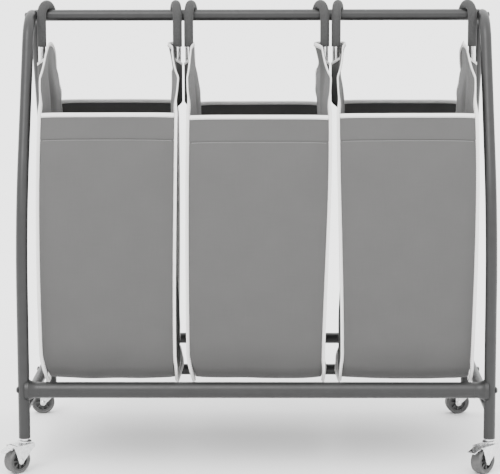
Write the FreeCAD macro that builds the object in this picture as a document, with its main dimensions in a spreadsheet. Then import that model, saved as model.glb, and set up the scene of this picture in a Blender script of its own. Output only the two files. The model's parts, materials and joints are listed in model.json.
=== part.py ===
import FreeCAD, Part

import os
import re

import Sketcher

# Rolling laundry sorter: two bent tube side frames joined by five rails, four swivel casters
# and three fabric bags that hang from the top rail by hooked handles.
# The origin is on the floor under the middle of the frame: +X to the right, -Y to the front, +Z up.
# Lengths are in millimetres and angles in degrees.

SIZES = {
    # side frames
    "side_spacing": 758,
    "tube_radius": 9.5,
    "tube_bore": 8.3,
    "leg_depth": 186,
    "leg_bottom": 57,
    "lean_angle": 23.5,
    "bulge_radius": 530,
    "crest_radius": 65,
    "crest_height": 735,
    "stretcher_height": 105.5,
    "fit": 0.05,
    "cope_gap": 0.1,
    "crest_cope_gap": 0.8,
    # rails
    "front_rail_height": 135,
    "front_rail_radius": 13,
    "front_rail_bore": 11.8,
    "back_rail_height": 139,
    "support_depth": 82,
    "saddle_radius": 17,
    "saddle_lip": 3,
    "saddle_disc": 9,
    "saddle_neck": 26,
    "saddle_neck_radius": 13.3,
    "saddle_curve": 22,
    "spigot_length": 20,
    # bolts and their nuts
    "bolt_radius": 3,
    "bolt_hole": 3.15,
    "bolt_length": 50,
    "bolt_head_radius": 5.2,
    "bolt_head_height": 3,
    "bolt_socket_radius": 2.2,
    "insert_length": 26,
    "insert_setback": 10.5,
    "nut_radius": 5,
    "nut_length": 10,
    # casters
    "caster_offset": 16,
    "wheel_radius": 21,
    "front_caster_turn": 225,
    "back_caster_turn": 188,
    "socket_rim": 2,
    "socket_depth": 28,
    "stem_radius": 5,
    "stem_length": 31,
    "collar_radius": 7,
    "race_radius": 11.5,
    "race_bottom": 49.5,
    "race_top": 51.5,
    "swivel_pin_radius": 3.5,
    "rivet_radius": 5.5,
    "rivet_bottom": 42.4,
    "ball_radius": 1.1,
    "ball_circle": 8.4,
    "ball_height": 48.1,
    "fork_top": 46.7,
    "fork_plate": 2,
    "fork_half_width": 12.2,
    "cheek_thickness": 1.5,
    "fork_nose": 12,
    "fork_heel": 21,
    "brake_heel": 28.4,
    "cheek_end_radius": 5,
    "axle_radius": 2.5,
    "axle_head_radius": 4.2,
    "axle_head_height": 1.4,
    "hub_radius": 6,
    "hub_half_length": 9.9,
    "web_half_thickness": 4,
    "rim_inner": 13.2,
    "rim_outer": 16.4,
    "rim_half_width": 8.3,
    "rib_width": 2.4,
    "rib_half_length": 7.4,
    "tyre_half_width": 9.5,
    "tyre_edge": 3,
    # wheel brakes
    "brake_pivot_x": 25,
    "brake_pivot_z": 44.2,
    "brake_pin_radius": 1.5,
    "brake_barrel_radius": 2.4,
    "brake_barrel_length": 20,
    "brake_pedal_width": 15,
    "brake_tip_x": 46,
    "brake_tip_z": 39.6,
    "brake_plate": 1.6,
    # bags and handles
    "bag_pitch": 247,
    "handle_spacing": 228,
    "handle_radius": 6,
    "handle_bore": 4.8,
    "grip_radius": 7.75,
    "crook_radius": 19.5,
    "crook_height": 733.25,
    "grip_length": 50,
    "handle_bottom": 592,
    "bag_width": 214,
    "bag_foot_depth": 320,
    "bag_rim_depth": 256,
    "bag_bow_radius": 660,
    "bag_bottom": 145,
    "bag_rim": 576,
    "bag_wall": 3,
    "ear_shoulder_depth": 188,
    "ear_shoulder": 655,
    "ear_depth": 116,
    "ear_corner": 46,
    "ear_top": 690,
    "sleeve_radius": 7.4,
    "sleeve_bottom": 585,
    "sleeve_top": 656,
    "ear_notch_gap": 0.5,
    # inward twist of each handle's hook about the vertical
    "twist_left_outer": 20,
    "twist_left_inner": 10,
    "twist_middle_left": 9,
    "twist_middle_right": 20,
    "twist_right_inner": 10,
    "twist_right_outer": 20,
}

SIDES = {"left": -1, "right": 1}
CORNERS = {
    "front_left": (-1, -1),
    "front_right": (1, -1),
    "back_left": (-1, 1),
    "back_right": (1, 1),
}
BAGS = {
    "left": (-1, "twist_left_outer", "twist_left_inner"),
    "middle": (0, "twist_middle_left", "twist_middle_right"),
    "right": (1, "twist_right_inner", "twist_right_outer"),
}
RIBS = 8
BALLS = 8

# Height where each leg starts to bend, so that its lower bow, its straight upper run and the
# crest bend all meet tangent to one another.
BOW_START = (
    "((crest_radius + (crest_height - crest_radius) * sin(lean_angle) - bulge_radius"
    " + (bulge_radius - leg_depth) * cos(lean_angle)) / sin(lean_angle))"
)

doc = FreeCAD.newDocument("laundry_sorter")
sheet = doc.addObject("Spreadsheet::Sheet", "Sizes")
sub_parts = []


def fill_sheet():
    for row, (alias, size) in enumerate(SIZES.items(), start=1):
        sheet.set(f"A{row}", alias)
        sheet.set(f"B{row}", str(size))
        sheet.setAlias(f"B{row}", alias)
    doc.recompute()


def in_sheet(expression):
    """Point every size named in an expression at its cell of the sheet."""
    def cell(word):
        return f"Sizes.{word[0]}" if word[0] in SIZES else word[0]
    return re.sub(r"[a-z_]+", cell, expression)


def value(expression):
    result = sheet.evalExpression(in_sheet(expression))
    return float(getattr(result, "Value", result))


def bind(thing, prop, expression):
    thing.setExpression(prop, in_sheet(expression))


def place(thing, x="0", y="0", z="0", turn=0.0):
    """Stand a sub-part at its place, turned about the vertical."""
    thing.Placement = FreeCAD.Placement(
        FreeCAD.Vector(value(x), value(y), value(z)),
        FreeCAD.Rotation(FreeCAD.Vector(0, 0, 1), turn),
    )
    bind(thing, "Placement.Base.x", x)
    bind(thing, "Placement.Base.y", y)
    bind(thing, "Placement.Base.z", z)


def new_body(name, x="0", y="0", z="0", turn=0.0, exported=True):
    body = doc.addObject("PartDesign::Body", name)
    body.Label = name
    place(body, x, y, z, turn)
    if exported:
        sub_parts.append(body)
    return body


def new_sketch(body, plane, offset="0"):
    """Sketch on one of the body's own origin planes, raised along the plane's normal."""
    sketch = body.newObject("Sketcher::SketchObject", f"{body.Name}_sketch")
    support = [item for item in body.Origin.OriginFeatures if item.Role == plane]
    sketch.AttachmentSupport = (support[0], "")
    sketch.MapMode = "FlatFace"
    bind(sketch, "AttachmentOffset.Base.z", offset)
    return sketch


def dimension(sketch, kind, places, expression):
    index = sketch.addConstraint(Sketcher.Constraint(kind, *places, value(expression)))
    bind(sketch, f"Constraints[{index}]", expression)


def pin_point(sketch, geometry, position, x, y):
    dimension(sketch, "DistanceX", (-1, 1, geometry, position), x)
    dimension(sketch, "DistanceY", (-1, 1, geometry, position), y)


def circle(sketch, x, y, radius):
    centre = FreeCAD.Vector(value(x), value(y), 0)
    index = sketch.addGeometry(Part.Circle(centre, FreeCAD.Vector(0, 0, 1), value(radius)), False)
    dimension(sketch, "Radius", (index,), radius)
    pin_point(sketch, index, 3, x, y)


def ring(sketch, x, y, outer, inner):
    circle(sketch, x, y, outer)
    circle(sketch, x, y, inner)


def arc_between(start, end, radius):
    """Arc of a signed radius: positive bends to the left of the way from start to end."""
    chord = end - start
    middle = (start + end) * 0.5
    left = FreeCAD.Vector(-chord.y, chord.x, 0).normalize()
    height = max(radius * radius - chord.Length ** 2 / 4, 0) ** 0.5
    sign = 1 if radius > 0 else -1
    centre = middle + left * (sign * height)
    crown = centre - left * radius
    return Part.Arc(start, crown, end)


def outline(sketch, start, steps):
    """Run of lines and arcs; a step is the x and y of its end and, for an arc, its radius.

    A radius that starts with a minus bends to the right of the way along the outline.
    The outline closes when its last step ends where it starts.
    """
    corner = FreeCAD.Vector(value(start[0]), value(start[1]), 0)
    previous = None
    first = None
    for step in steps:
        end = FreeCAD.Vector(value(step[0]), value(step[1]), 0)
        is_arc = len(step) == 3
        turns_right = is_arc and step[2].startswith("-")
        if is_arc:
            index = sketch.addGeometry(arc_between(corner, end, value(step[2])), False)
            dimension(sketch, "Radius", (index,), step[2].lstrip("-"))
        else:
            index = sketch.addGeometry(Part.LineSegment(corner, end), False)
        begin_at, end_at = (2, 1) if turns_right else (1, 2)
        if previous is None:
            first = (index, begin_at)
        else:
            sketch.addConstraint(Sketcher.Constraint("Coincident", *previous, index, begin_at))
        previous = (index, end_at)
        if tuple(step[:2]) == tuple(start):
            sketch.addConstraint(Sketcher.Constraint("Coincident", *previous, *first))
        else:
            pin_point(sketch, index, end_at, step[0], step[1])
        corner = end
    pin_point(sketch, *first, *start)


def pad(body, sketch, length, symmetric=True):
    feature = body.newObject("PartDesign::Pad", f"{body.Name}_pad")
    feature.Profile = sketch
    feature.SideType = "Symmetric" if symmetric else "One side"
    bind(feature, "Length", length)
    return feature


def pocket(body, sketch, length, symmetric=True, upward=False):
    """Cut a sketch through the body; a one-sided cut goes against the sketch's normal."""
    feature = body.newObject("PartDesign::Pocket", f"{body.Name}_pocket")
    feature.Profile = sketch
    feature.SideType = "Symmetric" if symmetric else "One side"
    feature.Reversed = upward
    bind(feature, "Length", length)
    return feature


def turned(body, sketch, axis):
    feature = body.newObject("PartDesign::Revolution", f"{body.Name}_turned")
    feature.Profile = sketch
    feature.ReferenceAxis = (sketch, [axis])
    feature.Angle = 360
    return feature


def pipe(body, profile, spine):
    feature = body.newObject("PartDesign::AdditivePipe", f"{body.Name}_pipe")
    feature.Profile = profile
    feature.Spine = (spine, [])
    return feature


def group(name, template, placements):
    """One node of identical separate solids, each a link to the same template body."""
    links = []
    for number, (x, y, z, turn) in enumerate(placements, start=1):
        link = doc.addObject("App::Link", f"{name}_{number}")
        link.LinkedObject = template
        place(link, x, y, z, turn)
        links.append(link)
    compound = doc.addObject("Part::Compound", name)
    compound.Label = name
    compound.Links = links
    sub_parts.append(compound)


def signed(sign, expression):
    return f"{sign} * ({expression})"


def side_arch(side, sign):
    """One tube bent into a tall arch whose two legs bow outwards to the front and the back."""
    body = new_body(f"side_arch_{side}", x=signed(sign, "side_spacing / 2"))
    spine = new_sketch(body, "YZ_Plane")
    bow_end_y = "leg_depth - bulge_radius * (1 - cos(lean_angle))"
    bow_end_z = f"{BOW_START} + bulge_radius * sin(lean_angle)"
    crest_y = "crest_radius * cos(lean_angle)"
    crest_z = "crest_height - crest_radius + crest_radius * sin(lean_angle)"
    outline(spine, ("-leg_depth", "leg_bottom"), [
        ("-leg_depth", BOW_START),
        (f"-({bow_end_y})", bow_end_z, "-bulge_radius"),
        (f"-({crest_y})", crest_z),
        (crest_y, crest_z, "-crest_radius"),
        (bow_end_y, bow_end_z),
        ("leg_depth", BOW_START, "-bulge_radius"),
        ("leg_depth", "leg_bottom"),
    ])
    section = new_sketch(body, "XY_Plane", "leg_bottom")
    ring(section, "0", "-leg_depth", "tube_radius", "tube_bore")
    pipe(body, section, spine)
    holes = new_sketch(body, "YZ_Plane")
    circle(holes, "0", "crest_height", "bolt_hole")
    circle(holes, "-leg_depth", "front_rail_height", "bolt_hole")
    circle(holes, "leg_depth", "back_rail_height", "bolt_hole")
    pocket(body, holes, "4 * tube_radius")


def side_stretcher(side, sign):
    """Level tube welded between the two legs of an arch, its ends shaped to the legs."""
    body = new_body(f"side_stretcher_{side}", x=signed(sign, "side_spacing / 2"))
    section = new_sketch(body, "XZ_Plane")
    ring(section, "0", "stretcher_height", "tube_radius", "tube_bore")
    pad(body, section, "2 * leg_depth")
    legs = new_sketch(body, "XY_Plane", "stretcher_height")
    circle(legs, "0", "-leg_depth", "tube_radius + cope_gap")
    circle(legs, "0", "leg_depth", "tube_radius + cope_gap")
    pocket(body, legs, "4 * tube_radius")
    bolt_holes = new_sketch(body, "YZ_Plane")
    for depth_sign in SIDES.values():
        circle(bolt_holes, signed(depth_sign, "support_depth"), "stretcher_height", "bolt_hole")
    pocket(body, bolt_holes, "4 * tube_radius")


def coped_rail(name, y, z, cope_plane, cope_offset, cope_centre, gap):
    """Rail between the side frames, its ends shaped to the tubes that they are bolted to."""
    body = new_body(name)
    section = new_sketch(body, "YZ_Plane")
    ring(section, y, z, "tube_radius", "tube_bore")
    pad(body, section, "side_spacing")
    ends = new_sketch(body, cope_plane, cope_offset)
    for sign in SIDES.values():
        circle(ends, signed(sign, "side_spacing / 2"), cope_centre, f"tube_radius + {gap}")
    pocket(body, ends, "4 * tube_radius")


def front_rail():
    body = new_body("front_rail")
    section = new_sketch(body, "YZ_Plane")
    ring(section, "-leg_depth", "front_rail_height", "front_rail_radius", "front_rail_bore")
    pad(body, section, "side_spacing - 2 * saddle_neck")


def front_saddle(side, sign):
    """Flared end of the front rail: a cup that grips the leg and a spigot inside the rail."""
    body = new_body(
        f"front_saddle_{side}",
        x=signed(sign, "side_spacing / 2"),
        y="-leg_depth",
        z="front_rail_height",
        turn=0 if sign < 0 else 180,
    )
    section = new_sketch(body, "XY_Plane")
    spigot_end = "saddle_neck + spigot_length"
    nut_pocket = "(nut_length + 3)"
    outline(section, ("saddle_lip", "bolt_hole"), [
        ("saddle_lip", "saddle_radius"),
        ("saddle_disc", "saddle_radius"),
        ("saddle_neck", "saddle_neck_radius", "saddle_curve"),
        ("saddle_neck", "front_rail_bore - fit"),
        (spigot_end, "front_rail_bore - fit"),
        (spigot_end, "nut_radius + fit"),
        (f"{spigot_end} - {nut_pocket}", "nut_radius + fit"),
        (f"{spigot_end} - {nut_pocket}", "bolt_hole"),
        ("saddle_lip", "bolt_hole"),
    ])
    turned(body, section, "H_Axis")
    leg = new_sketch(body, "XY_Plane")
    circle(leg, "0", "0", "tube_radius + fit")
    pocket(body, leg, "4 * tube_radius")


def rail_ends():
    """Each bolted joint as x sign, y, z and the turn that points its own +X into the rail."""
    heights = [
        ("0", "crest_height"),
        ("-leg_depth", "front_rail_height"),
        ("-support_depth", "stretcher_height"),
        ("support_depth", "stretcher_height"),
        ("leg_depth", "back_rail_height"),
    ]
    return [(sign, y, z, 0 if sign < 0 else 180) for sign in SIDES.values() for y, z in heights]


def rail_bolts():
    """Dome-headed bolts with a socket, which pass through the side frames into the rails."""
    bolt = new_body("bolt_pattern", exported=False)
    section = new_sketch(bolt, "XY_Plane")
    outline(section, ("-bolt_head_height / 3", "0"), [
        ("bolt_length", "0"),
        ("bolt_length", "bolt_radius"),
        ("0", "bolt_radius"),
        ("0", "bolt_head_radius"),
        ("-bolt_head_height / 3", "bolt_head_radius"),
        ("-bolt_head_height", "bolt_socket_radius", "1.2 * bolt_head_radius"),
        ("-bolt_head_height / 3", "bolt_socket_radius"),
        ("-bolt_head_height / 3", "0"),
    ])
    turned(bolt, section, "H_Axis")
    places = [
        (signed(sign, "side_spacing / 2 + tube_radius"), y, z, turn) for sign, y, z, turn in rail_ends()
    ]
    group("rail_bolts", bolt, places)


def rail_nut_inserts():
    """Threaded plugs pressed into the rail ends, which the bolts screw into."""
    insert = new_body("insert_pattern", exported=False)
    section = new_sketch(insert, "YZ_Plane", "insert_setback")
    ring(section, "0", "0", "tube_bore - fit", "bolt_radius + fit")
    pad(insert, section, "insert_length", symmetric=False)
    nut = new_body("nut_pattern", exported=False)
    section = new_sketch(nut, "YZ_Plane", "saddle_neck + spigot_length - nut_length")
    ring(section, "0", "0", "nut_radius", "bolt_radius + fit")
    pad(nut, section, "nut_length", symmetric=False)
    thin = []
    thick = []
    for sign, y, z, turn in rail_ends():
        target = thick if z == "front_rail_height" else thin
        target.append((signed(sign, "side_spacing / 2"), y, z, turn))
    group("rail_nut_inserts", insert, thin)
    group("saddle_nuts", nut, thick)


def leg_foot(corner):
    """X, Y of a leg's axis and the turn of its caster, as an expression pair and degrees."""
    sign_x, sign_y = CORNERS[corner]
    turn = value("front_caster_turn") if sign_y < 0 else value("back_caster_turn")
    return signed(sign_x, "side_spacing / 2"), signed(sign_y, "leg_depth"), turn


def caster_sockets():
    """Plastic plugs in the leg ends that hold the caster stems."""
    socket = new_body("socket_pattern", exported=False)
    section = new_sketch(socket, "XZ_Plane")
    top = "leg_bottom + socket_depth"
    rim = "leg_bottom - socket_rim"
    bore = "stem_radius + fit"
    outline(section, (bore, rim), [
        ("tube_radius", rim),
        ("tube_radius", "leg_bottom"),
        ("tube_bore - fit", "leg_bottom"),
        ("tube_bore - fit", top),
        (bore, top),
        (bore, rim),
    ])
    turned(socket, section, "V_Axis")
    group("caster_sockets", socket, [(*leg_foot(corner)[:2], "0", 0) for corner in CORNERS])


def caster_stem(corner):
    """Stem with the fixed upper ball race; its lower end is riveted under the fork."""
    x, y, _ = leg_foot(corner)
    body = new_body(f"caster_stem_{corner}", x=x, y=y)
    section = new_sketch(body, "XZ_Plane")
    rim = "leg_bottom - socket_rim"
    rivet_top = "fork_top - fork_plate - 0.3"
    outline(section, ("0", "rivet_bottom"), [
        ("rivet_radius - 1", "rivet_bottom"),
        ("rivet_radius", rivet_top, "1.4"),
        ("swivel_pin_radius", rivet_top),
        ("swivel_pin_radius", "race_bottom"),
        ("race_radius", "race_bottom"),
        ("race_radius", "race_bottom + 0.8"),
        ("collar_radius", "race_top + 0.6", "7"),
        ("collar_radius", rim),
        ("stem_radius", rim),
        ("stem_radius", f"{rim} + stem_length"),
        ("0", f"{rim} + stem_length"),
        ("0", "rivet_bottom"),
    ])
    turned(body, section, "V_Axis")


def swivel_balls():
    """Ball rings between the races of the four casters."""
    ball = new_body("ball_pattern", x="ball_circle", z="ball_height", exported=False)
    section = new_sketch(ball, "XZ_Plane")
    outline(section, ("0", "-ball_radius"), [
        ("ball_radius", "0", "ball_radius"),
        ("0", "ball_radius", "ball_radius"),
        ("0", "-ball_radius"),
    ])
    turned(ball, section, "V_Axis")
    places = []
    for corner in CORNERS:
        x, y, _ = leg_foot(corner)
        for number in range(BALLS):
            angle = f"{number * 360 / BALLS}"
            places.append((
                f"{x} + ball_circle * cos({angle})",
                f"{y} + ball_circle * sin({angle})",
                "ball_height",
                0,
            ))
    group("swivel_balls", ball, places)


def caster_fork(corner, braked):
    """Pressed fork: a flat top under the race and two cheeks that taper down to the axle."""
    x, y, turn = leg_foot(corner)
    body = new_body(f"fork_{corner}", x=x, y=y, turn=turn)
    heel = "brake_heel" if braked else "fork_heel"
    side = new_sketch(body, "XZ_Plane")
    outline(side, ("-fork_nose", "fork_top"), [
        ("-fork_nose", "fork_top - 5"),
        ("caster_offset - cheek_end_radius", "wheel_radius - 1"),
        ("caster_offset + cheek_end_radius", "wheel_radius - 1", "cheek_end_radius + 0.1"),
        (heel, "fork_top - 5"),
        (heel, "fork_top"),
        ("-fork_nose", "fork_top"),
    ])
    pad(body, side, "2 * fork_half_width")
    inside = new_sketch(body, "XZ_Plane")
    plate_under = "fork_top - fork_plate"
    outline(inside, ("-2 * fork_nose", "0"), [
        ("2 * brake_heel", "0"),
        ("2 * brake_heel", plate_under),
        ("-2 * fork_nose", plate_under),
        ("-2 * fork_nose", "0"),
    ])
    pocket(body, inside, "2 * (fork_half_width - cheek_thickness)")
    if braked:
        ear_gap = new_sketch(body, "XZ_Plane")
        outline(ear_gap, ("fork_heel", "0"), [
            ("2 * brake_heel", "0"),
            ("2 * brake_heel", "2 * fork_top"),
            ("fork_heel", "2 * fork_top"),
            ("fork_heel", "0"),
        ])
        pocket(body, ear_gap, "2 * (fork_half_width - cheek_thickness)")
    swivel_hole = new_sketch(body, "XY_Plane", "fork_top")
    circle(swivel_hole, "0", "0", "swivel_pin_radius + fit")
    pocket(body, swivel_hole, "3 * fork_plate")
    cross_holes = new_sketch(body, "XZ_Plane")
    circle(cross_holes, "caster_offset", "wheel_radius", "axle_radius + fit")
    if braked:
        circle(cross_holes, "brake_pivot_x", "brake_pivot_z", "brake_pin_radius + fit")
    pocket(body, cross_holes, "3 * fork_half_width")


def on_fork(corner, along, height):
    """Place of a point on a fork, from its distance behind the stem along the fork."""
    x, y, turn = leg_foot(corner)
    angle = "front_caster_turn" if "front" in corner else "back_caster_turn"
    return {
        "x": f"{x} + {along} * cos({angle})",
        "y": f"{y} + {along} * sin({angle})",
        "z": height,
        "turn": turn,
    }


def axle(corner):
    """Rivet through the wheel, with a domed head outside each cheek."""
    body = new_body(f"axle_{corner}", **on_fork(corner, "caster_offset", "wheel_radius"))
    section = new_sketch(body, "XY_Plane")
    end = "(fork_half_width + axle_head_height)"
    flat = "axle_head_radius / 3"
    dome = "axle_head_radius * 1.2"
    outline(section, ("0", f"-{end}"), [
        (flat, f"-{end}"),
        ("axle_head_radius", "-fork_half_width - fit", dome),
        ("axle_radius", "-fork_half_width - fit"),
        ("axle_radius", "fork_half_width + fit"),
        ("axle_head_radius", "fork_half_width + fit"),
        (flat, end, dome),
        ("0", end),
        ("0", f"-{end}"),
    ])
    turned(body, section, "V_Axis")


def wheel_core(corner):
    """Plastic wheel with a hub, a thin web and ribs on both faces."""
    body = new_body(f"wheel_core_{corner}", **on_fork(corner, "caster_offset", "wheel_radius"))
    section = new_sketch(body, "XY_Plane")
    bore = "axle_radius + fit"
    outline(section, (bore, "-hub_half_length"), [
        ("hub_radius", "-hub_half_length"),
        ("hub_radius", "-web_half_thickness"),
        ("rim_inner", "-web_half_thickness"),
        ("rim_inner", "-rim_half_width"),
        ("rim_outer", "-rim_half_width"),
        ("rim_outer", "rim_half_width"),
        ("rim_inner", "rim_half_width"),
        ("rim_inner", "web_half_thickness"),
        ("hub_radius", "web_half_thickness"),
        ("hub_radius", "hub_half_length"),
        (bore, "hub_half_length"),
        (bore, "-hub_half_length"),
    ])
    turned(body, section, "V_Axis")
    rib = new_sketch(body, "XZ_Plane")
    inner = "hub_radius - 0.5"
    outer = "rim_inner + 0.5"
    outline(rib, (inner, "-rib_width / 2"), [
        (outer, "-rib_width / 2"),
        (outer, "rib_width / 2"),
        (inner, "rib_width / 2"),
        (inner, "-rib_width / 2"),
    ])
    rib_pad = pad(body, rib, "2 * rib_half_length")
    doc.recompute()
    pattern = body.newObject("PartDesign::PolarPattern", f"{body.Name}_ribs")
    pattern.Originals = [rib_pad]
    pattern.Axis = (section, ["V_Axis"])
    pattern.Angle = 360
    pattern.Occurrences = RIBS
    body.Tip = pattern


def tyre(corner):
    body = new_body(f"tyre_{corner}", **on_fork(corner, "caster_offset", "wheel_radius"))
    section = new_sketch(body, "XY_Plane")
    edge_radius = "wheel_radius - tyre_edge"
    edge_width = "tyre_half_width - tyre_edge"
    outline(section, ("rim_outer", "-rim_half_width"), [
        (edge_radius, "-tyre_half_width"),
        ("wheel_radius", f"-({edge_width})", "tyre_edge"),
        ("wheel_radius", edge_width),
        (edge_radius, "tyre_half_width", "tyre_edge"),
        ("rim_outer", "rim_half_width"),
        ("rim_outer", "-rim_half_width"),
    ])
    turned(body, section, "V_Axis")


def brake_pin(corner):
    body = new_body(f"brake_pin_{corner}", **on_fork(corner, "brake_pivot_x", "brake_pivot_z"))
    section = new_sketch(body, "XZ_Plane")
    circle(section, "0", "0", "brake_pin_radius")
    pad(body, section, "2 * fork_half_width + 1")


def brake_lever(corner):
    """Foot lever of pressed plate: a rolled eye on the pin, a pedal and a shoe over the tyre."""
    body = new_body(f"brake_lever_{corner}", **on_fork(corner, "0", "0"))
    eye = new_sketch(body, "XZ_Plane")
    circle(eye, "brake_pivot_x", "brake_pivot_z", "brake_barrel_radius")
    pad(body, eye, "brake_barrel_length")
    pedal = new_sketch(body, "XZ_Plane")
    outline(pedal, ("brake_pivot_x", "brake_pivot_z + brake_barrel_radius"), [
        ("brake_pivot_x", "brake_pivot_z + brake_barrel_radius - brake_plate"),
        ("brake_pivot_x + 4", "brake_pivot_z - 2.6"),
        ("brake_pivot_x + 7", "brake_pivot_z - 3.4"),
        ("brake_pivot_x + 9", "brake_pivot_z - brake_plate"),
        ("brake_tip_x", "brake_tip_z - brake_plate"),
        ("brake_tip_x", "brake_tip_z"),
        ("brake_pivot_x", "brake_pivot_z + brake_barrel_radius"),
    ])
    pad(body, pedal, "brake_pedal_width")
    pin_hole = new_sketch(body, "XZ_Plane")
    circle(pin_hole, "brake_pivot_x", "brake_pivot_z", "brake_pin_radius + fit")
    pocket(body, pin_hole, "2 * brake_barrel_length")


def handle_place(bag_sign, hand, twist):
    """Place of a hook's centre on the rail, and its turn, from its bag and its twist."""
    turn = hand * value(twist)
    upright = f"{bag_sign} * bag_pitch + {hand} * handle_spacing / 2"
    return {
        "x": f"{upright} - {hand} * crook_radius * sin({twist})",
        "z": "crook_height",
        "turn": turn,
    }


def handle_tube(name, placement):
    """Aluminium tube: an upright that slides into the bag's sleeve, bent over at the top."""
    body = new_body(name, **placement)
    foot = "handle_bottom - crook_height"
    spine = new_sketch(body, "YZ_Plane")
    outline(spine, ("-crook_radius", foot), [
        ("-crook_radius", "0"),
        ("0", "crook_radius", "-crook_radius"),
        ("crook_radius", "0", "-crook_radius"),
    ])
    section = new_sketch(body, "XY_Plane", foot)
    ring(section, "0", "-crook_radius", "handle_radius", "handle_bore")
    pipe(body, section, spine)


def grip(name, placement):
    """Soft sleeve over the hook, closed at the hook's free end."""
    body = new_body(name, **placement)
    spine = new_sketch(body, "YZ_Plane")
    outline(spine, ("-crook_radius", "-grip_length"), [
        ("-crook_radius", "0"),
        ("0", "crook_radius", "-crook_radius"),
        ("crook_radius", "0", "-crook_radius"),
    ])
    section = new_sketch(body, "XY_Plane", "-grip_length")
    ring(section, "0", "-crook_radius", "grip_radius", "handle_radius + fit")
    pipe(body, section, spine)
    end_cap = new_sketch(body, "XY_Plane", "-2.5")
    circle(end_cap, "0", "crook_radius", "grip_radius")
    pad(body, end_cap, "2.5", symmetric=False)


def bag_fabric(bag, bag_sign, twists):
    """Sewn bag: its bowed side panels rise into ears above the mouth and carry handle sleeves."""
    body = new_body(f"bag_fabric_{bag}", x=f"{bag_sign} * bag_pitch")
    side = new_sketch(body, "YZ_Plane")
    outline(side, ("-bag_foot_depth / 2", "bag_bottom"), [
        ("-bag_rim_depth / 2", "bag_rim", "-bag_bow_radius"),
        ("-ear_shoulder_depth / 2", "ear_shoulder"),
        ("-ear_depth / 2", "ear_top", "-ear_corner"),
        ("ear_depth / 2", "ear_top"),
        ("ear_shoulder_depth / 2", "ear_shoulder", "-ear_corner"),
        ("bag_rim_depth / 2", "bag_rim"),
        ("bag_foot_depth / 2", "bag_bottom", "-bag_bow_radius"),
        ("-bag_foot_depth / 2", "bag_bottom"),
    ])
    pad(body, side, "bag_width")
    inside = new_sketch(body, "YZ_Plane")
    foot = "(bag_foot_depth / 2 - bag_wall)"
    rim = "(bag_rim_depth / 2 - bag_wall)"
    beyond = "bag_foot_depth"
    above = "(ear_top + bag_wall)"
    outline(inside, (f"-{foot}", "bag_bottom + bag_wall"), [
        (f"-{rim}", "bag_rim", "-bag_bow_radius"),
        (f"-{beyond}", "bag_rim"),
        (f"-{beyond}", above),
        (beyond, above),
        (beyond, "bag_rim"),
        (rim, "bag_rim"),
        (foot, "bag_bottom + bag_wall", "-bag_bow_radius"),
        (f"-{foot}", "bag_bottom + bag_wall"),
    ])
    pocket(body, inside, "bag_width - 2 * bag_wall")
    sleeves = new_sketch(body, "XY_Plane", "sleeve_bottom")
    bores = new_sketch(body, "XY_Plane", "handle_bottom - 1")
    notches = new_sketch(body, "XY_Plane", "crook_height - grip_length - ear_notch_gap")
    for hand, twist in zip(SIDES.values(), twists):
        x = f"{hand} * handle_spacing / 2"
        y = f"-crook_radius * cos({twist})"
        circle(sleeves, x, y, "sleeve_radius")
        circle(bores, x, y, "handle_radius + fit")
        circle(notches, x, y, "grip_radius + ear_notch_gap")
    pad(body, sleeves, "sleeve_top - sleeve_bottom", symmetric=False)
    pocket(body, bores, "ear_top", symmetric=False, upward=True)
    pocket(body, notches, "ear_top", symmetric=False, upward=True)


def build():
    fill_sheet()
    for side, sign in SIDES.items():
        side_arch(side, sign)
        side_stretcher(side, sign)
        front_saddle(side, sign)
    coped_rail("top_rail", "0", "crest_height", "XZ_Plane", "0", "crest_height", "crest_cope_gap")
    for name, y in (("support_rail_front", "-support_depth"), ("support_rail_back", "support_depth")):
        coped_rail(name, y, "stretcher_height", "XZ_Plane", signed(-1, y), "stretcher_height", "cope_gap")
    coped_rail("back_rail", "leg_depth", "back_rail_height", "XY_Plane", "back_rail_height", "leg_depth",
               "cope_gap")
    front_rail()
    rail_bolts()
    rail_nut_inserts()
    caster_sockets()
    swivel_balls()
    for corner in CORNERS:
        braked = corner.startswith("front")
        caster_stem(corner)
        caster_fork(corner, braked)
        axle(corner)
        wheel_core(corner)
        tyre(corner)
        if braked:
            brake_pin(corner)
            brake_lever(corner)
    for bag, (bag_sign, *twists) in BAGS.items():
        bag_fabric(bag, bag_sign, twists)
        for (side, hand), twist in zip(SIDES.items(), twists):
            placement = handle_place(bag_sign, hand, twist)
            handle_tube(f"handle_tube_{bag}_{side}", placement)
            grip(f"grip_{bag}_{side}", placement)
    doc.recompute()


def check():
    """Stop before anything is written if an object failed or a shape isn't sound."""
    failed = [item.Label for item in doc.Objects if {"Invalid", "Error"} & set(item.State)]
    if failed:
        raise RuntimeError(f"objects that failed: {failed}")
    for part in sub_parts:
        if part.Shape.isNull() or not part.Shape.isValid():
            raise RuntimeError(f"{part.Label} has no sound shape")


def write():
    os.makedirs("parts", exist_ok=True)
    for part in sub_parts:
        part.Shape.exportStep(os.path.join("parts", f"{part.Label}.step"))
        box = part.Shape.BoundBox
        print(f"{part.Label:28s} solids {len(part.Shape.Solids):2d}  volume {part.Shape.Volume:10.1f}"
              f"  x {box.XMin:7.1f} {box.XMax:7.1f}  y {box.YMin:7.1f} {box.YMax:7.1f}"
              f"  z {box.ZMin:6.1f} {box.ZMax:6.1f}")


build()
check()
write()
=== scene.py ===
"""A rolling laundry sorter: the CAD frame with its finishes, and three sewn bags of cloth."""
import json
import math

import bpy
import numpy as np
from mathutils import Matrix, Vector, noise


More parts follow.
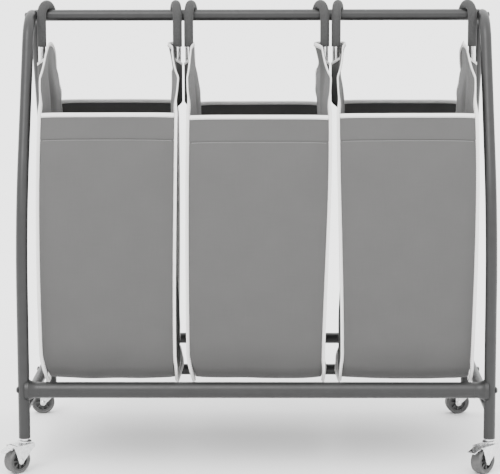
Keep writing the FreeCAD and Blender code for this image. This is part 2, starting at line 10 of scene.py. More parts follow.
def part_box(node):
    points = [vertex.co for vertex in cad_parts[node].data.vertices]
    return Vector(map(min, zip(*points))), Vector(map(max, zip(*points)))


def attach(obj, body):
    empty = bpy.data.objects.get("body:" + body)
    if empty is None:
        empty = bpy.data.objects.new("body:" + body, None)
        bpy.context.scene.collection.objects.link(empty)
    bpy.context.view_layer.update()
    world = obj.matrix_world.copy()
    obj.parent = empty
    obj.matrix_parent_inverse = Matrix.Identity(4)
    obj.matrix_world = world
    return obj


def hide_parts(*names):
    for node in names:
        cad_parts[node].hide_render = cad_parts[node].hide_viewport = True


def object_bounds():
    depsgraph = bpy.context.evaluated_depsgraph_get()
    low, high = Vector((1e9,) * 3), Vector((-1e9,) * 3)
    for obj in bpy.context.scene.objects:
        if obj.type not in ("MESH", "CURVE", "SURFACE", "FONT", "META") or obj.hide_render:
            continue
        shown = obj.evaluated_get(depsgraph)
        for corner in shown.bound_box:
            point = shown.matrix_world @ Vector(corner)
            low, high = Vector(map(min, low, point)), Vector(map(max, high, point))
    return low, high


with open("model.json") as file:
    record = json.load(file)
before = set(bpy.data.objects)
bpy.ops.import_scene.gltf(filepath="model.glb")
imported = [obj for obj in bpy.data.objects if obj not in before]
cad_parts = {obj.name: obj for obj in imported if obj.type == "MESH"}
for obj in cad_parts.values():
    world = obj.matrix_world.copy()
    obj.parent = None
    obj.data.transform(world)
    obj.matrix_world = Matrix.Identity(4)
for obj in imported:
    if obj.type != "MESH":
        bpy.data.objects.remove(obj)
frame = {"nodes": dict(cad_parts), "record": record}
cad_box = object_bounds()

MM = 0.001
BAGS = ("left", "middle", "right")
SIDES = {"left": -1, "right": 1}

# The bag's outline, seen from the side: the same sizes as its CAD solid
BAG_LOW, BAG_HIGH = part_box("bag_fabric_left")
BOTTOM = BAG_LOW.z
EAR_TOP = BAG_HIGH.z
BAG_PITCH = (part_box("bag_fabric_right")[0].x - BAG_LOW.x) / 2
FOOT_HALF_DEPTH = 160 * MM
RIM_HALF_DEPTH = 128 * MM
RIM = 576 * MM
BOW_RADIUS = 660 * MM
SHOULDER_HALF_DEPTH = 94 * MM
SHOULDER = 655 * MM
EAR_HALF_DEPTH = 58 * MM
EAR_CORNER = 46 * MM
FOOT_CORNER = 30 * MM
FOOT_SEAM = BOTTOM + 1 * MM

# The handles that the side panels hang from
HANDLE_X = 114 * MM
HANDLE_RADIUS = 6 * MM
SLEEVE_MOUTH = 656 * MM
SLEEVE_FOOT = 574 * MM

# How the cloth is cut and sewn. A tape is its half width and its half thickness
CLOTH = 1.6 * MM
SLEEVE_CLOTH = 0.9 * MM
SEAM_INSET = 5 * MM
EAR_INSET = 1 * MM
SIDE_TAPE = (3.7 * MM, 1.25 * MM)
RIM_TAPE = (3.9 * MM, 1.7 * MM)
MOUTH_TAPE = (2.6 * MM, 1.0 * MM)
HEM = 41 * MM
SLEEVE_REACH = 17 * MM
STITCH_PITCH = 4 * MM
STITCH_LENGTH = 3 * MM
THREAD_RADIUS = 0.42 * MM

# A stitch's arch: places along its length, their height and the thread's size there
STITCH_ARCH = ((-0.5, -0.5, 0.3), (-0.28, 0.25, 1.0), (0.28, 0.25, 1.0), (0.5, -0.5, 0.3))

# How each bag hangs: half its width at the seams, its shift to the right and its rim's drop
SEAM_HALF_WIDTH = {"left": 109.5 * MM, "middle": 114 * MM, "right": 110.5 * MM}
BAG_SHIFT = {"left": 4.5 * MM, "middle": 4.5 * MM, "right": -1 * MM}
RIM_DROP = {"left": -4 * MM, "middle": 0.0, "right": -2.5 * MM}

# How far each bag's left and right side stand in: all along the foot, at the foot's front corner,
# towards the back, at the ear's top and at the ear's back edge. The ear's front edge flares out
FOOT_TAPER = {"left": (2 * MM, 3 * MM), "middle": (0.0, 12 * MM), "right": (7 * MM, 7 * MM)}
FOOT_TUCK = {"left": (11 * MM, -1 * MM), "middle": (10 * MM, 1 * MM), "right": (-2 * MM, 3 * MM)}
BACK_TAPER = {"left": (6 * MM, 11 * MM), "middle": (8 * MM, 10 * MM), "right": (11 * MM, 6 * MM)}
EAR_LEAN = {"left": (4 * MM, 8 * MM), "middle": (1 * MM, 10 * MM), "right": (8 * MM, 8 * MM)}
EAR_CURL = {"left": (0.0, 12 * MM), "middle": (0.0, 13 * MM), "right": (0.0, 0.0)}
EAR_FLARE = {"left": (3.5 * MM, 5 * MM), "middle": (4 * MM, 4 * MM), "right": (2.5 * MM, 2 * MM)}

# How the ear's top is rounded, and how the panels swell, sag and fold
ARCH_START = 625 * MM
ARCH_DROP = 13 * MM
ARCH_SLOPE = 0.05
LEAN_START = 645 * MM
SIDE_SAG = 7 * MM
SIDE_RIPPLE = 2.2 * MM
CROWN = 9 * MM
BELLY = 5 * MM
UNDER_SAG = 3 * MM
HEM_GROOVE = 0.7 * MM
HEM_STEP = 0.5 * MM
BROAD_FOLD = 2.4 * MM
FINE_FOLD = 1.1 * MM
PUCKER = 0.5 * MM
GATHER = 1.6 * MM


def ramp(value, start, end):
    """0 until value reaches start, 1 from end on, and smooth between. end may be below start."""
    t = np.clip((value - start) / (end - start), 0, 1)
    return t * t * (3 - 2 * t)


def arc_centre(start, end, radius):
    """Centre of the arc from start to end that bulges away from the origin's side."""
    (y0, z0), (y1, z1) = start, end
    chord = math.hypot(y1 - y0, z1 - z0)
    reach = math.sqrt(radius ** 2 - (chord / 2) ** 2)
    return (y0 + y1) / 2 - reach * (z1 - z0) / chord, (z0 + z1) / 2 - reach * (y0 - y1) / chord


BOW_Y, BOW_Z = arc_centre((FOOT_HALF_DEPTH, BOTTOM), (RIM_HALF_DEPTH, RIM), BOW_RADIUS)
EAR_Y, EAR_Z = arc_centre((SHOULDER_HALF_DEPTH, SHOULDER), (EAR_HALF_DEPTH, EAR_TOP), EAR_CORNER)


def inset(z):
    """How far the seam lies inside the CAD outline: more below the rim, where tape stands out."""
    return SEAM_INSET + (EAR_INSET - SEAM_INSET) * ramp(z, RIM, RIM + 25 * MM)


def bow_y(z):
    """The outline's half depth between the foot and the rim."""
    return BOW_Y + np.sqrt(BOW_RADIUS ** 2 - (z - BOW_Z) ** 2)


def half_depth(z):
    """Half the side panel's depth at a height, to its seam."""
    corner_z = FOOT_SEAM + FOOT_CORNER
    corner_y = bow_y(corner_z) - SEAM_INSET - FOOT_CORNER
    below = corner_z - np.minimum(z, corner_z)
    corner = corner_y + np.sqrt(np.maximum(FOOT_CORNER ** 2 - below ** 2, 0))
    slope = (RIM_HALF_DEPTH - SHOULDER_HALF_DEPTH) / (SHOULDER - RIM)
    straight = RIM_HALF_DEPTH - slope * (z - RIM)
    ear = EAR_Y + np.sqrt(np.maximum(EAR_CORNER ** 2 - (np.maximum(z, SHOULDER) - EAR_Z) ** 2, 0))
    bow = bow_y(np.minimum(z, RIM))
    above = np.where(z < RIM, bow, np.where(z < SHOULDER, straight, ear)) - inset(z)
    return np.where(z < corner_z, corner, above)


def on(side, pair):
    """The value of a left and right pair on one side."""
    return pair[0] if side == "left" else pair[1]


def seam_half_width(bag, side, y, z):
    """How far a side seam stands from the bag's middle plane."""
    taper = on(side, FOOT_TAPER[bag]) * ramp(z, RIM, BOTTOM)
    tuck = on(side, FOOT_TUCK[bag]) * ramp(z, BOTTOM + 45 * MM, BOTTOM) * ramp(y, 0, -110 * MM)
    back = on(side, BACK_TAPER[bag]) * ramp(y, -FOOT_HALF_DEPTH, FOOT_HALF_DEPTH)
    return SEAM_HALF_WIDTH[bag] - taper - tuck - back * ramp(z, EAR_TOP, EAR_TOP - 120 * MM)


def bag_middle(bag):
    """Where the bag's middle plane hangs: a little aside from its place under the rail."""
    return {"left": -1, "middle": 0, "right": 1}[bag] * BAG_PITCH + BAG_SHIFT[bag]


def arch_top(y, z):
    """Rounds an ear's top: lower towards its front and back corners, and lowest behind."""
    drop = ARCH_DROP * (y / EAR_HALF_DEPTH) ** 2 + ARCH_SLOPE * y
    return z - ramp(z, ARCH_START, EAR_TOP) * drop


def ripple(points, scale, seed):
    """Soft unevenness from -1 to 1 at each point, the same on every run. scale is per metre."""
    shift = Vector((seed * 7.3, seed * 3.1, seed * 1.7))
    flat = points.reshape(-1, 3) * scale
    return np.array([noise.noise(Vector(p) + shift) for p in flat]).reshape(points.shape[:-1])


def handle_y(bag, side):
    """Where the handle's tube stands between the bag's front and back."""
    low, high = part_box(f"handle_tube_{bag}_{side}")
    return low.y + HANDLE_RADIUS


def side_x(bag, side, y, z):
    """How far the side panel stands from the bag's middle plane."""
    across = np.clip(y / half_depth(z), -1, 1)
    in_front = np.clip(-across, 0, 1)
    middle = 1 - across ** 2
    inwards = 2 * ramp(z, 200 * MM, 400 * MM) - 1
    sag = SIDE_SAG * inwards * middle * ramp(z, EAR_TOP, EAR_TOP - 110 * MM)
    ends = np.stack([np.full_like(y, SIDES[side] * 0.3), y, z], axis=-1)
    seed = BAGS.index(bag) + 3 * SIDES[side]
    sag = sag + SIDE_RIPPLE * middle * ripple(ends, 11, seed)
    rise = np.clip((z - LEAN_START) / (EAR_TOP - LEAN_START), 0, 1) ** 1.3
    flare = on(side, EAR_FLARE[bag]) * ramp(z, RIM - 10 * MM, RIM + 65 * MM) * in_front ** 2
    x = seam_half_width(bag, side, y, z) - sag + flare * (1 - 0.8 * rise)
    # Beside the handle's tube, the panel lies against it
    near = np.exp(-((y - handle_y(bag, side)) / (17 * MM)) ** 2) * (1 - in_front ** 4)
    beside = ramp(z, SLEEVE_FOOT - 40 * MM, SLEEVE_FOOT + 20 * MM)
    against = HANDLE_X - HANDLE_RADIUS - CLOTH - SIDES[side] * BAG_SHIFT[bag]
    x = x + (against - x) * near * beside
    behind = np.clip((across + 0.25) / 1.25, 0, 1) ** 1.6
    curl = on(side, EAR_CURL[bag]) * behind * ramp(z, RIM - 30 * MM, RIM + 80 * MM)
    return x - on(side, EAR_LEAN[bag]) * rise - curl * (1 - rise)


def side_place(bag, side, y, z):
    """Points of the side panel from their places in its flat outline."""
    x = bag_middle(bag) + SIDES[side] * side_x(bag, side, y, z)
    return np.stack([x, y, arch_top(y, z)], axis=-1)


# Meshes

def add_object(name, points, faces, uvs, look, slot, body):
    """A smooth mesh piece from points, faces and one UV for each point, riding on a body."""
    mesh = bpy.data.meshes.new(name)
    mesh.from_pydata([tuple(p) for p in points], [], faces)
    layer = mesh.uv_layers.new(name="UVMap")
    for loop in mesh.loops:
        layer.data[loop.index].uv = uvs[loop.vertex_index]
    mesh.polygons.foreach_set("use_smooth", [True] * len(mesh.polygons))
    mesh.materials.append(look)
    piece = bpy.data.objects.new(name, mesh)
    bpy.context.scene.collection.objects.link(piece)
    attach(piece, body)
    return piece


def grid_faces(rows, columns, start=0, around=False, closed=False):
    """Quads of a grid of points. around joins its last column to its first, closed its last row."""
    faces = []
    for i in range(rows if closed else rows - 1):
        for j in range(columns if around else columns - 1):
            a, b = i * columns, (i + 1) % rows * columns
            k = (j + 1) % columns
            faces.append((start + a + j, start + a + k, start + b + k, start + b + j))
    return faces


def cloth(name, points, uvs, look, body, thickness=CLOTH):
    """A sewn panel: a grid of points given its real thickness."""
    rows, columns = points.shape[:2]
    faces = grid_faces(rows, columns)
    flat_points, flat_uvs = points.reshape(-1, 3), uvs.reshape(-1, 2)
    piece = add_object(name, flat_points, faces, flat_uvs, look, "bag_cloth", body)
    wall = piece.modifiers.new("thickness", "SOLIDIFY")
    wall.thickness = thickness
    wall.offset = 0
    return piece


def unit(vectors):
    return vectors / np.maximum(np.linalg.norm(vectors, axis=-1, keepdims=True), 1e-9)


def tangents(path, closed=False):
    if closed:
        return unit(np.roll(path, -1, axis=0) - np.roll(path, 1, axis=0))
    return unit(np.gradient(path, axis=0))


def run_length(path):
    steps = np.linalg.norm(np.diff(path, axis=0), axis=1)
    return np.concatenate([[0], np.cumsum(steps)])


def tape(path, across, out, half_width, half_thickness, closed=False):
    """Points, faces and UVs of a folded tape: across is its width's direction, out its face's."""
    turn = np.linspace(0, 2 * math.pi, 16, endpoint=False)
    wide = half_width * np.sign(np.cos(turn)) * np.abs(np.cos(turn)) ** 0.55
    thick = half_thickness * np.sign(np.sin(turn)) * np.abs(np.sin(turn)) ** 0.75
    puff = 1 + 0.10 * ripple(path, 95, 5)
    points = (path[:, None] + wide[None, :, None] * across[:, None]
              + (thick[None, :] * puff[:, None])[..., None] * out[:, None])
    rows, columns = points.shape[:2]
    faces = grid_faces(rows, columns, around=True, closed=closed)
    if not closed:
        faces.append(tuple(range(columns)))
        faces.append(tuple(reversed(range((rows - 1) * columns, rows * columns))))
    girth = turn / (2 * math.pi) * 4 * half_width
    along = run_length(path)
    uvs = np.stack(np.broadcast_arrays(girth[None, :], along[:, None]), axis=-1)
    return points.reshape(-1, 3), faces, uvs.reshape(-1, 2)


def stitch_row(path, out):
    """Points, faces and UVs of a row of machine stitches, each a short arched thread."""
    along = run_length(path)
    count = int(along[-1] / STITCH_PITCH)
    sides = 6

    def at(values, distance):
        return np.array([np.interp(distance, along, values[:, i]) for i in range(3)])

    points, faces = [], []
    for k in range(count):
        middle = (k + 0.5) * along[-1] / count
        centre = at(path, middle)
        up = unit(at(out, middle))
        ahead = unit(at(path, middle + 0.5 * MM) - at(path, middle - 0.5 * MM))
        beside = np.cross(ahead, up)
        start = len(points)
        for shift, lift, size in STITCH_ARCH:
            spine = centre + shift * STITCH_LENGTH * ahead + lift * THREAD_RADIUS * up
            for turn in np.arange(sides) * 2 * math.pi / sides:
                ring = math.cos(turn) * beside + math.sin(turn) * up
                points.append(spine + size * THREAD_RADIUS * ring)
        faces += grid_faces(len(STITCH_ARCH), sides, start, around=True)
        faces.append(tuple(range(start, start + sides)))
        faces.append(tuple(reversed(range(len(points) - sides, len(points)))))
    points = np.array(points)
    return points, faces, points[:, :2]


def merge(parts):
    """Several sets of points, faces and UVs as one."""
    points, faces, uvs, start = [], [], [], 0
    for p, f, t in parts:
        points.append(p)
        uvs.append(t)
        faces += [tuple(i + start for i in face) for face in f]
        start += len(p)
    return np.concatenate(points), faces, np.concatenate(uvs)


# Finishes

def finish(name, colour, roughness, metallic=0.0, **shader):
    """A material whose constant values sit on its shader's own sockets."""
    made = bpy.data.materials.new(name)
    made.use_nodes = True
    inputs = made.node_tree.nodes["Principled BSDF"].inputs
    inputs["Base Color"].default_value = (*colour, 1)
    inputs["Roughness"].default_value = roughness
    inputs["Metallic"].default_value = metallic
    for socket, value in shader.items():
        inputs[socket.replace("_", " ")].default_value = value
    return made


def feed(made, source, socket):
    """Links a node's first output to the material's shader."""
    shader = made.node_tree.nodes["Principled BSDF"]
    made.node_tree.links.new(source.outputs[0], shader.inputs[socket])


def node(made, kind, **values):
    """A new node with its inputs set, by name or as i and a number. Nodes link by output 0."""
    new = made.node_tree.nodes.new(kind)
    for socket, value in values.items():
        numbered = socket[0] == "i" and socket[1:].isdigit()
        slot = new.inputs[int(socket[1:]) if numbered else socket.replace("_", " ")]
        if isinstance(value, bpy.types.Node):
            made.node_tree.links.new(value.outputs[0], slot)
        elif isinstance(value, bpy.types.NodeSocket):
            made.node_tree.links.new(value, slot)
        else:
            slot.default_value = value
    return new


def place(made, space, scale):
    """Texture coordinates, Object or UV, scaled."""
    source = made.node_tree.nodes.new("ShaderNodeTexCoord")
    return node(made, "ShaderNodeMapping", Vector=source.outputs[space], Scale=scale)


def cloudy(made, where, scale, detail=3.0, roughness=0.55):
    """Cloudy noise."""
    return node(made, "ShaderNodeTexNoise", Vector=where, Scale=scale, Detail=detail,
                Roughness=roughness)


def remap(made, source, low, high, start=0.3, end=0.7):
    """source's start..end as low..high."""
    return node(made, "ShaderNodeMapRange", Value=source, i1=start, i2=end, i3=low, i4=high)


def shade(made, source, dark, light, start=0.3, end=0.7):
    """Links the base colour to a ramp between two colours."""
    blend = node(made, "ShaderNodeValToRGB", Fac=source)
    for element, position, colour in zip(blend.color_ramp.elements, (start, end), (dark, light)):
        element.position = position
        element.color = (*colour, 1)
    feed(made, blend, "Base Color")


def relief(made, source, distance, strength=1.0, under=None):
    """Bumps the surface by source, on top of another relief if there is one."""
    bump = node(made, "ShaderNodeBump", Height=source, Distance=distance, Strength=strength)
    if under is not None:
        made.node_tree.links.new(under.outputs[0], bump.inputs["Normal"])
    feed(made, bump, "Normal")
    return bump


def gloss(made, source, low, high, start=0.3, end=0.7):
    """Spreads the roughness from low to high by source."""
    feed(made, remap(made, source, low, high, start, end), "Roughness")


def grey(level, warmth=0.0):
    return level * (1 + warmth), level, level * (1 - warmth)


def powder_coat():
    """Satin powder coat: fine orange peel, slight mottling and a few fine rubbed marks."""
    made = finish("powder_coat", grey(0.012), 0.40, Specular_IOR_Level=0.42)
    where = place(made, "Object", (1, 1, 1))
    shade(made, cloudy(made, where, 55), grey(0.0105), grey(0.0140, -0.01))
    gloss(made, cloudy(made, where, 140), 0.34, 0.46)
    marks = place(made, "Object", (1, 1, 0.08))
    peel = relief(made, cloudy(made, where, 850, 1.0), 0.12 * MM, 0.5)
    relief(made, cloudy(made, marks, 900, 1.0), 0.05 * MM, 0.25, under=peel)
    return made


def zinc():
    """Bright zinc plate, faintly mottled and brushed."""
    made = finish("zinc_plate", grey(0.72, -0.01), 0.26, 1.0)
    where = place(made, "Object", (1, 1, 1))
    shade(made, cloudy(made, where, 210), grey(0.60, -0.01), grey(0.80))
    gloss(made, cloudy(made, where, 420), 0.20, 0.38)
    relief(made, cloudy(made, place(made, "Object", (1, 1, 5)), 700, 2.0), 0.05 * MM, 0.4)
    return made


def aluminium():
    """Drawn aluminium tube with fine lines along its length."""
    made = finish("drawn_aluminium", grey(0.80), 0.24, 1.0)
    lines = cloudy(made, place(made, "Object", (1, 1, 0.03)), 1300, 2.0)
    shade(made, lines, grey(0.70), grey(0.86))
    gloss(made, lines, 0.18, 0.32)
    relief(made, lines, 0.03 * MM, 0.4)
    return made


def moulded(name, level, roughness):
    """Moulded plastic with a fine spark-eroded grain."""
    made = finish(name, grey(level), roughness, Specular_IOR_Level=0.45)
    where = place(made, "Object", (1, 1, 1))
    shade(made, cloudy(made, where, 120), grey(level * 0.85), grey(level * 1.2))
    gloss(made, cloudy(made, where, 260), roughness - 0.06, roughness + 0.08)
    relief(made, cloudy(made, where, 1500, 2.0), 0.06 * MM, 0.6)
    return made


def rubber():
    """Grey tread rubber, dusty in patches."""
    made = finish("tread_rubber", grey(0.10), 0.62, Specular_IOR_Level=0.35)
    where = place(made, "Object", (1, 1, 1))
    shade(made, cloudy(made, where, 160, 5.0), grey(0.060), grey(0.090, 0.015))
    gloss(made, cloudy(made, where, 90), 0.52, 0.75)
    relief(made, cloudy(made, where, 1900, 2.0), 0.05 * MM, 0.6)
    return made


def foam():
    """Closed-cell foam grip: matt, with fine pores."""
    made = finish("grip_foam", grey(0.040), 0.88, Specular_IOR_Level=0.25, Sheen_Weight=0.06,
                  Sheen_Roughness=0.5)
    where = place(made, "Object", (1, 1, 1))
    shade(made, cloudy(made, where, 330, 4.0), grey(0.034), grey(0.046))
    pores = node(made, "ShaderNodeTexVoronoi", Vector=where, Scale=1100)
    soft = relief(made, pores, 0.16 * MM, 0.5)
    relief(made, cloudy(made, where, 240), 0.20 * MM, 0.35, under=soft)
    return made


def blackened():
    """Blackened steel screw heads, rubbed a little brighter in patches."""
    made = finish("black_oxide", grey(0.03), 0.4, 0.7)
    where = place(made, "Object", (1, 1, 1))
    shade(made, cloudy(made, where, 600), grey(0.018), grey(0.060))
    gloss(made, cloudy(made, where, 500), 0.3, 0.5)
    relief(made, cloudy(made, where, 1800), 0.04 * MM, 0.4)
    return made


def weave(made, pitch):
    """Height of a plain weave, over one and under one, from UVs in metres."""
    where = place(made, "UV", (1 / pitch, 1 / pitch, 1))
    squares = node(made, "ShaderNodeTexChecker", Vector=where, Scale=1.0)
    threads = []
    for direction in ("X", "Y"):
        wave = node(made, "ShaderNodeTexWave", Vector=where, Scale=math.pi / 10)
        wave.wave_type = "BANDS"
        wave.bands_direction = direction
        threads.append(wave)
    return node(made, "ShaderNodeMix", i0=squares.outputs["Fac"], i2=threads[0], i3=threads[1])


def woven(name, level, pitch, roughness, spread, sheen):
    """Woven cloth: over-and-under threads, slubs along both thread directions, and cloudy dye."""
    made = finish(name, grey(level, 0.012), roughness, Specular_IOR_Level=0.25,
                  Sheen_Weight=sheen, Sheen_Roughness=0.45)
    warp = cloudy(made, place(made, "UV", (900, 30, 1)), 1.0, 2.0)
    weft = cloudy(made, place(made, "UV", (30, 900, 1)), 1.0, 2.0)
    slubs = node(made, "ShaderNodeMath", i0=warp, i1=weft)
    slubs.operation = "ADD"
    dye = cloudy(made, place(made, "UV", (1, 1, 1)), 14, 5.0)
    tone = node(made, "ShaderNodeMath", i0=slubs, i1=dye)
    tone.operation = "ADD"
    shade(made, remap(made, tone, 0.0, 1.0, 1.1, 1.9), grey(level * (1 - spread), 0.012),
          grey(level * (1 + spread), 0.012), 0.0, 1.0)
    gloss(made, slubs, roughness - 0.06, roughness + 0.06, 0.7, 1.3)
    threads = relief(made, weave(made, pitch), 0.22 * MM, 0.45)
    relief(made, slubs, 0.20 * MM, 0.35, under=threads)
    return made


FINISHES = {
    "frame_paint": powder_coat(),
    "bolt_black": blackened(),
    "insert_plastic": moulded("insert_plastic", 0.02, 0.45),
    "socket_plastic": moulded("socket_plastic", 0.02, 0.5),
    "zinc": zinc(),
    "wheel_plastic": moulded("wheel_plastic", 0.035, 0.42),
    "tyre_grey": rubber(),
    "bag_cloth": woven("bag_canvas", 0.071, 1.0 * MM, 0.80, 0.07, 0.10),
    "bag_binding": woven("binding_tape", 0.74, 0.7 * MM, 0.72, 0.03, 0.05),
    "thread": woven("sewing_thread", 0.22, 0.4 * MM, 0.55, 0.05, 0.05),
    "handle_aluminium": aluminium(),
    "grip_foam": foam(),
}


def paint_cad_nodes():
    """Gives each CAD node the finish of the record's slot that it names."""
    slots = {item["node"]: item["material_slot"] for item in frame["record"]["subparts"]}
    for name, piece in frame["nodes"].items():
        piece.data.materials.clear()
        piece.data.materials.append(FINISHES[slots[name]])


# The sewn bags

def wrap_path(bag):
    """The wrap panel's line, from the front rim under the bag to the back rim, and its normals."""
    rim = RIM - RIM_DROP[bag]
    corner_z = FOOT_SEAM + FOOT_CORNER
    hem = [rim - HEM + shift * MM for shift in (-4, -2, -1, 0, 1, 2, 4)]
    heights = np.array(sorted([*np.linspace(corner_z, rim, 70), *hem], reverse=True))
    turn = np.linspace(0, math.pi / 2, 10)[1:-1]
    heights = np.concatenate([heights, corner_z - FOOT_CORNER * np.sin(turn)])
    front = np.stack([-half_depth(heights), heights], axis=1)
    depth = float(half_depth(np.array(FOOT_SEAM)))
    under = [(y, FOOT_SEAM) for y in np.linspace(-depth, depth, 45)]
    back = front[::-1] * (-1, 1)
    path = np.concatenate([front, under, back])
    along = unit(np.gradient(path, axis=0))
    return path, np.stack([along[:, 1], -along[:, 0]], axis=1)


def wrap_points(bag):
    """The wrap panel's points: it swells between its side seams and sags underneath."""
    path, out = wrap_path(bag)
    t = np.linspace(-1, 1, 53)
    u = 0.55 * np.sin(t * math.pi / 2) + 0.45 * t
    y, z = path[:, 0][:, None], path[:, 1][:, None]
    rim = RIM - RIM_DROP[bag]
    hem = rim - HEM
    width = np.where(u < 0, seam_half_width(bag, "left", y, z), seam_half_width(bag, "right", y, z))
    flat = np.stack(np.broadcast_arrays(bag_middle(bag) + u * width, y, z), axis=-1)
    push = np.zeros((len(path), 3))
    push[:, 1:] = out

    down = np.clip((rim - z) / (rim - BOTTOM), 0, 1)
    edge = 1 - np.abs(u) ** 7
    centre = 1 - u ** 2
    below_rim = 0.35 + 0.65 * ramp(z, rim, rim - 90 * MM)
    lift = CROWN * edge * below_rim * (1 - 0.85 * ramp(z, BOTTOM + 70 * MM, BOTTOM))
    lift = lift + BELLY * centre * np.sin(down * math.pi) ** 0.8
    underneath = z < BOTTOM + 2 * SEAM_INSET
    lift = lift + UNDER_SAG * centre * (1 - (y / FOOT_HALF_DEPTH) ** 2) * underneath
    lift = lift - HEM_GROOVE * np.exp(-((z - hem) / (1.6 * MM)) ** 2) + HEM_STEP * (z > hem)

    seed = BAGS.index(bag) + 1
    folds = flat * (1.0, 1.0, 0.45)
    slack = edge * (0.25 + 0.75 * ramp(z, rim, rim - 120 * MM))
    rough = BROAD_FOLD * ripple(folds, 9, seed) + FINE_FOLD * ripple(folds, 22, seed + 4)
    at_seam = np.exp(-((1 - np.abs(u)) / 0.10) ** 2) * edge
    lift = lift + rough * slack + PUCKER * ripple(flat, 75, seed + 9) * at_seam
    near_foot = ramp(z, BOTTOM, BOTTOM + 20 * MM) * ramp(z, 330 * MM, 150 * MM)
    waves = np.sin((np.abs(u) * 70 * MM + z - BOTTOM) / (15 * MM))
    lift = lift + GATHER * waves * near_foot * np.abs(u) ** 3 * edge

    points = flat + lift[..., None] * push[:, None, :]
    uvs = np.stack(np.broadcast_arrays(u * width, run_length(path)[:, None]), axis=-1)
    return points, uvs, push


def panel_points(bag, side):
    """A side panel's points, with the ear on top."""
    corner_z = FOOT_SEAM + FOOT_CORNER
    top = EAR_TOP - EAR_INSET
    low = corner_z - FOOT_CORNER * np.cos(np.linspace(0, math.pi / 2, 9)[:-1])
    high = SHOULDER + (top - SHOULDER) * np.sin(np.linspace(0, math.pi / 2, 12))
    heights = np.concatenate([low, np.linspace(corner_z, SHOULDER, 80)[:-1], high])
    y = np.linspace(-1, 1, 49)[None, :] * half_depth(heights)[:, None]
    z = np.broadcast_to(heights[:, None], y.shape)
    return side_place(bag, side, y, z), np.stack([y, z], axis=-1)


def side_loop(bag, side):
    """The side panel's whole edge as a loop: its points, and its outward direction in the panel."""
    corner_z = FOOT_SEAM + FOOT_CORNER
    top = EAR_TOP - EAR_INSET
    low = corner_z - FOOT_CORNER * np.cos(np.linspace(0, math.pi / 2, 10))
    high = SHOULDER + (top - SHOULDER) * np.sin(np.linspace(0, math.pi / 2, 14))
    up = np.concatenate([low, np.linspace(corner_z, SHOULDER, 90)[1:], high[1:]])
    depth = half_depth(up)
    foot = np.linspace(depth[0], -depth[0], 40)[1:-1]
    crest = np.linspace(-depth[-1], depth[-1], 18)[1:-1]
    y = np.concatenate([-depth, crest, depth[::-1], foot])
    z = np.concatenate([up, np.full(len(crest), top), up[::-1], np.full(len(foot), low[0])])
    points = side_place(bag, side, y, z)
    along = tangents(points[:, 1:], closed=True)
    return points, np.stack([np.zeros(len(y)), -along[:, 1], along[:, 0]], axis=1)


def side_binding(bag, side):
    """Tape folded over the side panel's edge: a slanting fin below the rim, flat on the ear."""
    path, out = side_loop(bag, side)
    z = path[:, 2]
    low = ramp(z, BOTTOM + 45 * MM, BOTTOM + 5 * MM)
    corner = low * ramp(np.abs(path[:, 1]), 105 * MM, 140 * MM)
    slant = math.radians(50) * ramp(z, RIM + 46 * MM, RIM + 6 * MM) * (1 - 0.5 * corner)
    sideways = np.zeros_like(path)
    sideways[:, 0] = SIDES[side]
    across = unit(np.cos(slant)[:, None] * out + np.sin(slant)[:, None] * sideways)
    face = unit(np.cross(tangents(path, closed=True), across))
    seam = ramp(z, RIM + 30 * MM, RIM)
    shift = (-2.2 + 4.6 * seam + 2.6 * low + 3.5 * corner) * MM
    centre = path + shift[:, None] * across
    body = tape(centre, across, face, *SIDE_TAPE, closed=True)
    loop, across, face = (np.concatenate([a, a[:1]]) for a in (centre, across, face))
    rows = [stitch_row(loop - 1.5 * MM * across + sign * 1.38 * MM * face, sign * face)
            for sign in (-1, 1)]
    return body, rows


def rim_binding(points, push, row):
    """Tape folded over the wrap panel's top edge, front or back."""
    inward = 1 if row == 0 else -1
    edge = points[row]
    down = unit(points[row + inward * 2] - edge)
    face = np.broadcast_to(push[row], edge.shape)
    centre = edge + 2.8 * MM * down
    row_of_stitches = stitch_row(centre + 2.6 * MM * down + 1.5 * MM * face, face)
    return tape(centre, down, face, *RIM_TAPE), row_of_stitches


def sleeve_points(bag, side):
    """The sleeve's points: cloth bent round the handle's tube and sewn down on both sides of it."""
    t = np.linspace(-1, 1, 33)[None, :]
    level = np.linspace(0, 1, 44)[:, None]
    mouth = SLEEVE_MOUTH + 0.95 * np.maximum(np.abs(t) * SLEEVE_REACH - 2 * MM, 0)
    z = SLEEVE_FOOT + (mouth - SLEEVE_FOOT) * level
    y = handle_y(bag, side) + t * SLEEVE_REACH * (0.86 + 0.14 * level)
    panel = side_x(bag, side, y, z)
    crest = HANDLE_X + HANDLE_RADIUS + SLEEVE_CLOTH - SIDES[side] * BAG_SHIFT[bag]
    bump = 0.5 + 0.5 * np.cos(np.clip(np.abs(t) * 1.08, 0, 1) * math.pi)
    fade = ramp(z, SLEEVE_FOOT, SLEEVE_FOOT + 18 * MM)
    x = panel + SLEEVE_CLOTH + (crest - panel - 0.4 * MM) * bump * fade
    points = np.stack([bag_middle(bag) + SIDES[side] * x, y, z], axis=-1)
    return points, np.stack([y, z], axis=-1)


def sleeve_trim(sleeve, side):
    """The tape along a sleeve's mouth, and the rows of stitches down its two edges."""
    mouth = sleeve[-1]
    outward = np.array((SIDES[side], 0.0, 0.0))
    down = unit(sleeve[-3] - mouth)
    face = unit(np.cross(tangents(mouth), down))
    face *= np.sign(face @ outward)[:, None]
    rows = []
    for column in (1, -2):
        line = sleeve[2:-3, column]
        rows.append(stitch_row(line + 0.7 * MM * outward, np.broadcast_to(outward, line.shape)))
    return tape(mouth + 2.0 * MM * down, down, face, *MOUTH_TAPE), rows


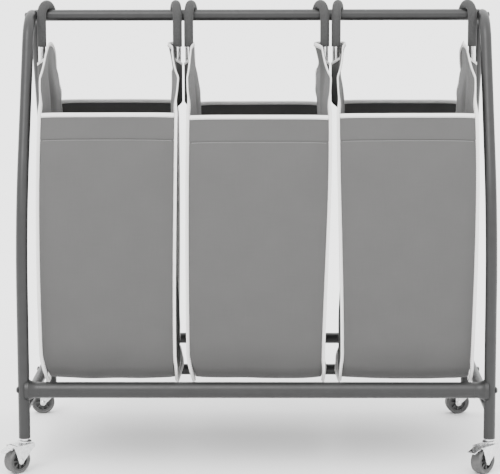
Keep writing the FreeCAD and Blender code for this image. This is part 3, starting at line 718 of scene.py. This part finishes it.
def build_bag(bag):
    """A bag's pieces: its wrap panel, side panels, sleeves, tapes and stitches."""
    body = f"bag_{bag}"
    cloth_finish = FINISHES["bag_cloth"]
    points, uvs, push = wrap_points(bag)
    wrap = cloth(f"{bag}_bag_wrap_panel", points, uvs, cloth_finish, body)
    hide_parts(f"bag_fabric_{bag}")
    tapes, stitches = [], []
    for row in (0, -1):
        strip, stitched = rim_binding(points, push, row)
        tapes.append(strip)
        stitches.append(stitched)
    middle_column = points.shape[1] // 2
    hem_row = int(np.argmin(np.abs(points[:90, middle_column, 2] - (RIM - RIM_DROP[bag] - HEM))))
    for row in (hem_row, len(points) - 1 - hem_row):
        line = points[row, 2:-2]
        face = np.broadcast_to(push[row], line.shape)
        stitches.append(stitch_row(line + 0.85 * MM * face, face))
    for side in SIDES:
        panel, panel_uvs = panel_points(bag, side)
        cloth(f"{bag}_bag_side_panel_{side}", panel, panel_uvs, cloth_finish, body)
        sleeve, sleeve_uvs = sleeve_points(bag, side)
        cloth(f"{bag}_bag_sleeve_{side}", sleeve, sleeve_uvs, cloth_finish, body, SLEEVE_CLOTH)
        for strip, rows in (side_binding(bag, side), sleeve_trim(sleeve, side)):
            tapes.append(strip)
            stitches += rows
    add_object(f"{bag}_bag_binding", *merge(tapes), FINISHES["bag_binding"], "bag_binding", body)
    add_object(f"{bag}_bag_stitching", *merge(stitches), FINISHES["thread"], "thread", body)


# Camera, light and floor

CAMERA_PLACE = (0.028, -3.151, 0.879)
PITCH, YAW, ROLL = 0.1285, 0.0127, -0.0024
LENS = 134.4
SHIFT_Y = -0.134
HORIZON_LIGHT = 2.2
ZENITH_LIGHT = 3.4
LIGHT_AIM = (0, 0, 0.4)
FLOOR_REACH = 40


def add_camera():
    """The camera at the photograph's viewing angle."""
    data = bpy.data.cameras.new("camera")
    data.lens = LENS
    data.shift_y = SHIFT_Y
    camera = bpy.data.objects.new("camera", data)
    heading = Matrix.Rotation(YAW, 4, "Z")
    tilt = Matrix.Rotation(math.pi / 2 - PITCH, 4, "X") @ Matrix.Rotation(ROLL, 4, "Z")
    camera.matrix_world = Matrix.Translation(CAMERA_PLACE) @ heading @ tilt
    bpy.context.scene.collection.objects.link(camera)
    bpy.context.scene.camera = camera


def add_sun(name, place_at, energy, spread):
    """A soft, far light that shines from a place towards the object's middle."""
    data = bpy.data.lights.new(name, "SUN")
    data.energy = energy
    data.angle = math.radians(spread)
    lamp = bpy.data.objects.new(name, data)
    lamp.location = place_at
    towards = Vector(LIGHT_AIM) - Vector(place_at)
    lamp.rotation_euler = towards.to_track_quat("-Z", "Y").to_euler()
    bpy.context.scene.collection.objects.link(lamp)


def add_studio():
    """A pale floor under even, soft light from above and in front."""
    corners = [(-1, -1), (1, -1), (1, 1), (-1, 1)]
    points = [(x * FLOOR_REACH, y * FLOOR_REACH, cad_box[0].z) for x, y in corners]
    mesh = bpy.data.meshes.new("floor")
    mesh.from_pydata(points, [], [(0, 1, 2, 3)])
    mesh.materials.append(finish("pale_floor", grey(0.93), 0.7))
    floor = bpy.data.objects.new("floor", mesh)
    bpy.context.scene.collection.objects.link(floor)
    world = bpy.data.worlds.new("studio")
    world.use_nodes = True
    links = world.node_tree.links
    background = world.node_tree.nodes["Background"]
    source = world.node_tree.nodes.new("ShaderNodeTexCoord")
    axes = world.node_tree.nodes.new("ShaderNodeSeparateXYZ")
    height = world.node_tree.nodes.new("ShaderNodeMapRange")
    links.new(source.outputs["Generated"], axes.inputs[0])
    links.new(axes.outputs["Z"], height.inputs["Value"])
    height.inputs["To Min"].default_value = HORIZON_LIGHT
    height.inputs["To Max"].default_value = ZENITH_LIGHT
    links.new(height.outputs[0], background.inputs["Strength"])
    background.inputs["Color"].default_value = (1, 1, 1, 1)
    bpy.context.scene.world = world
    add_sun("key_sun", (-0.8, -1.9, 3.0), 2.2, 30)
    add_sun("fill_sun", (1.6, -2.4, 1.6), 0.35, 60)


paint_cad_nodes()
for bag_name in BAGS:
    build_bag(bag_name)
add_camera()
add_studio()
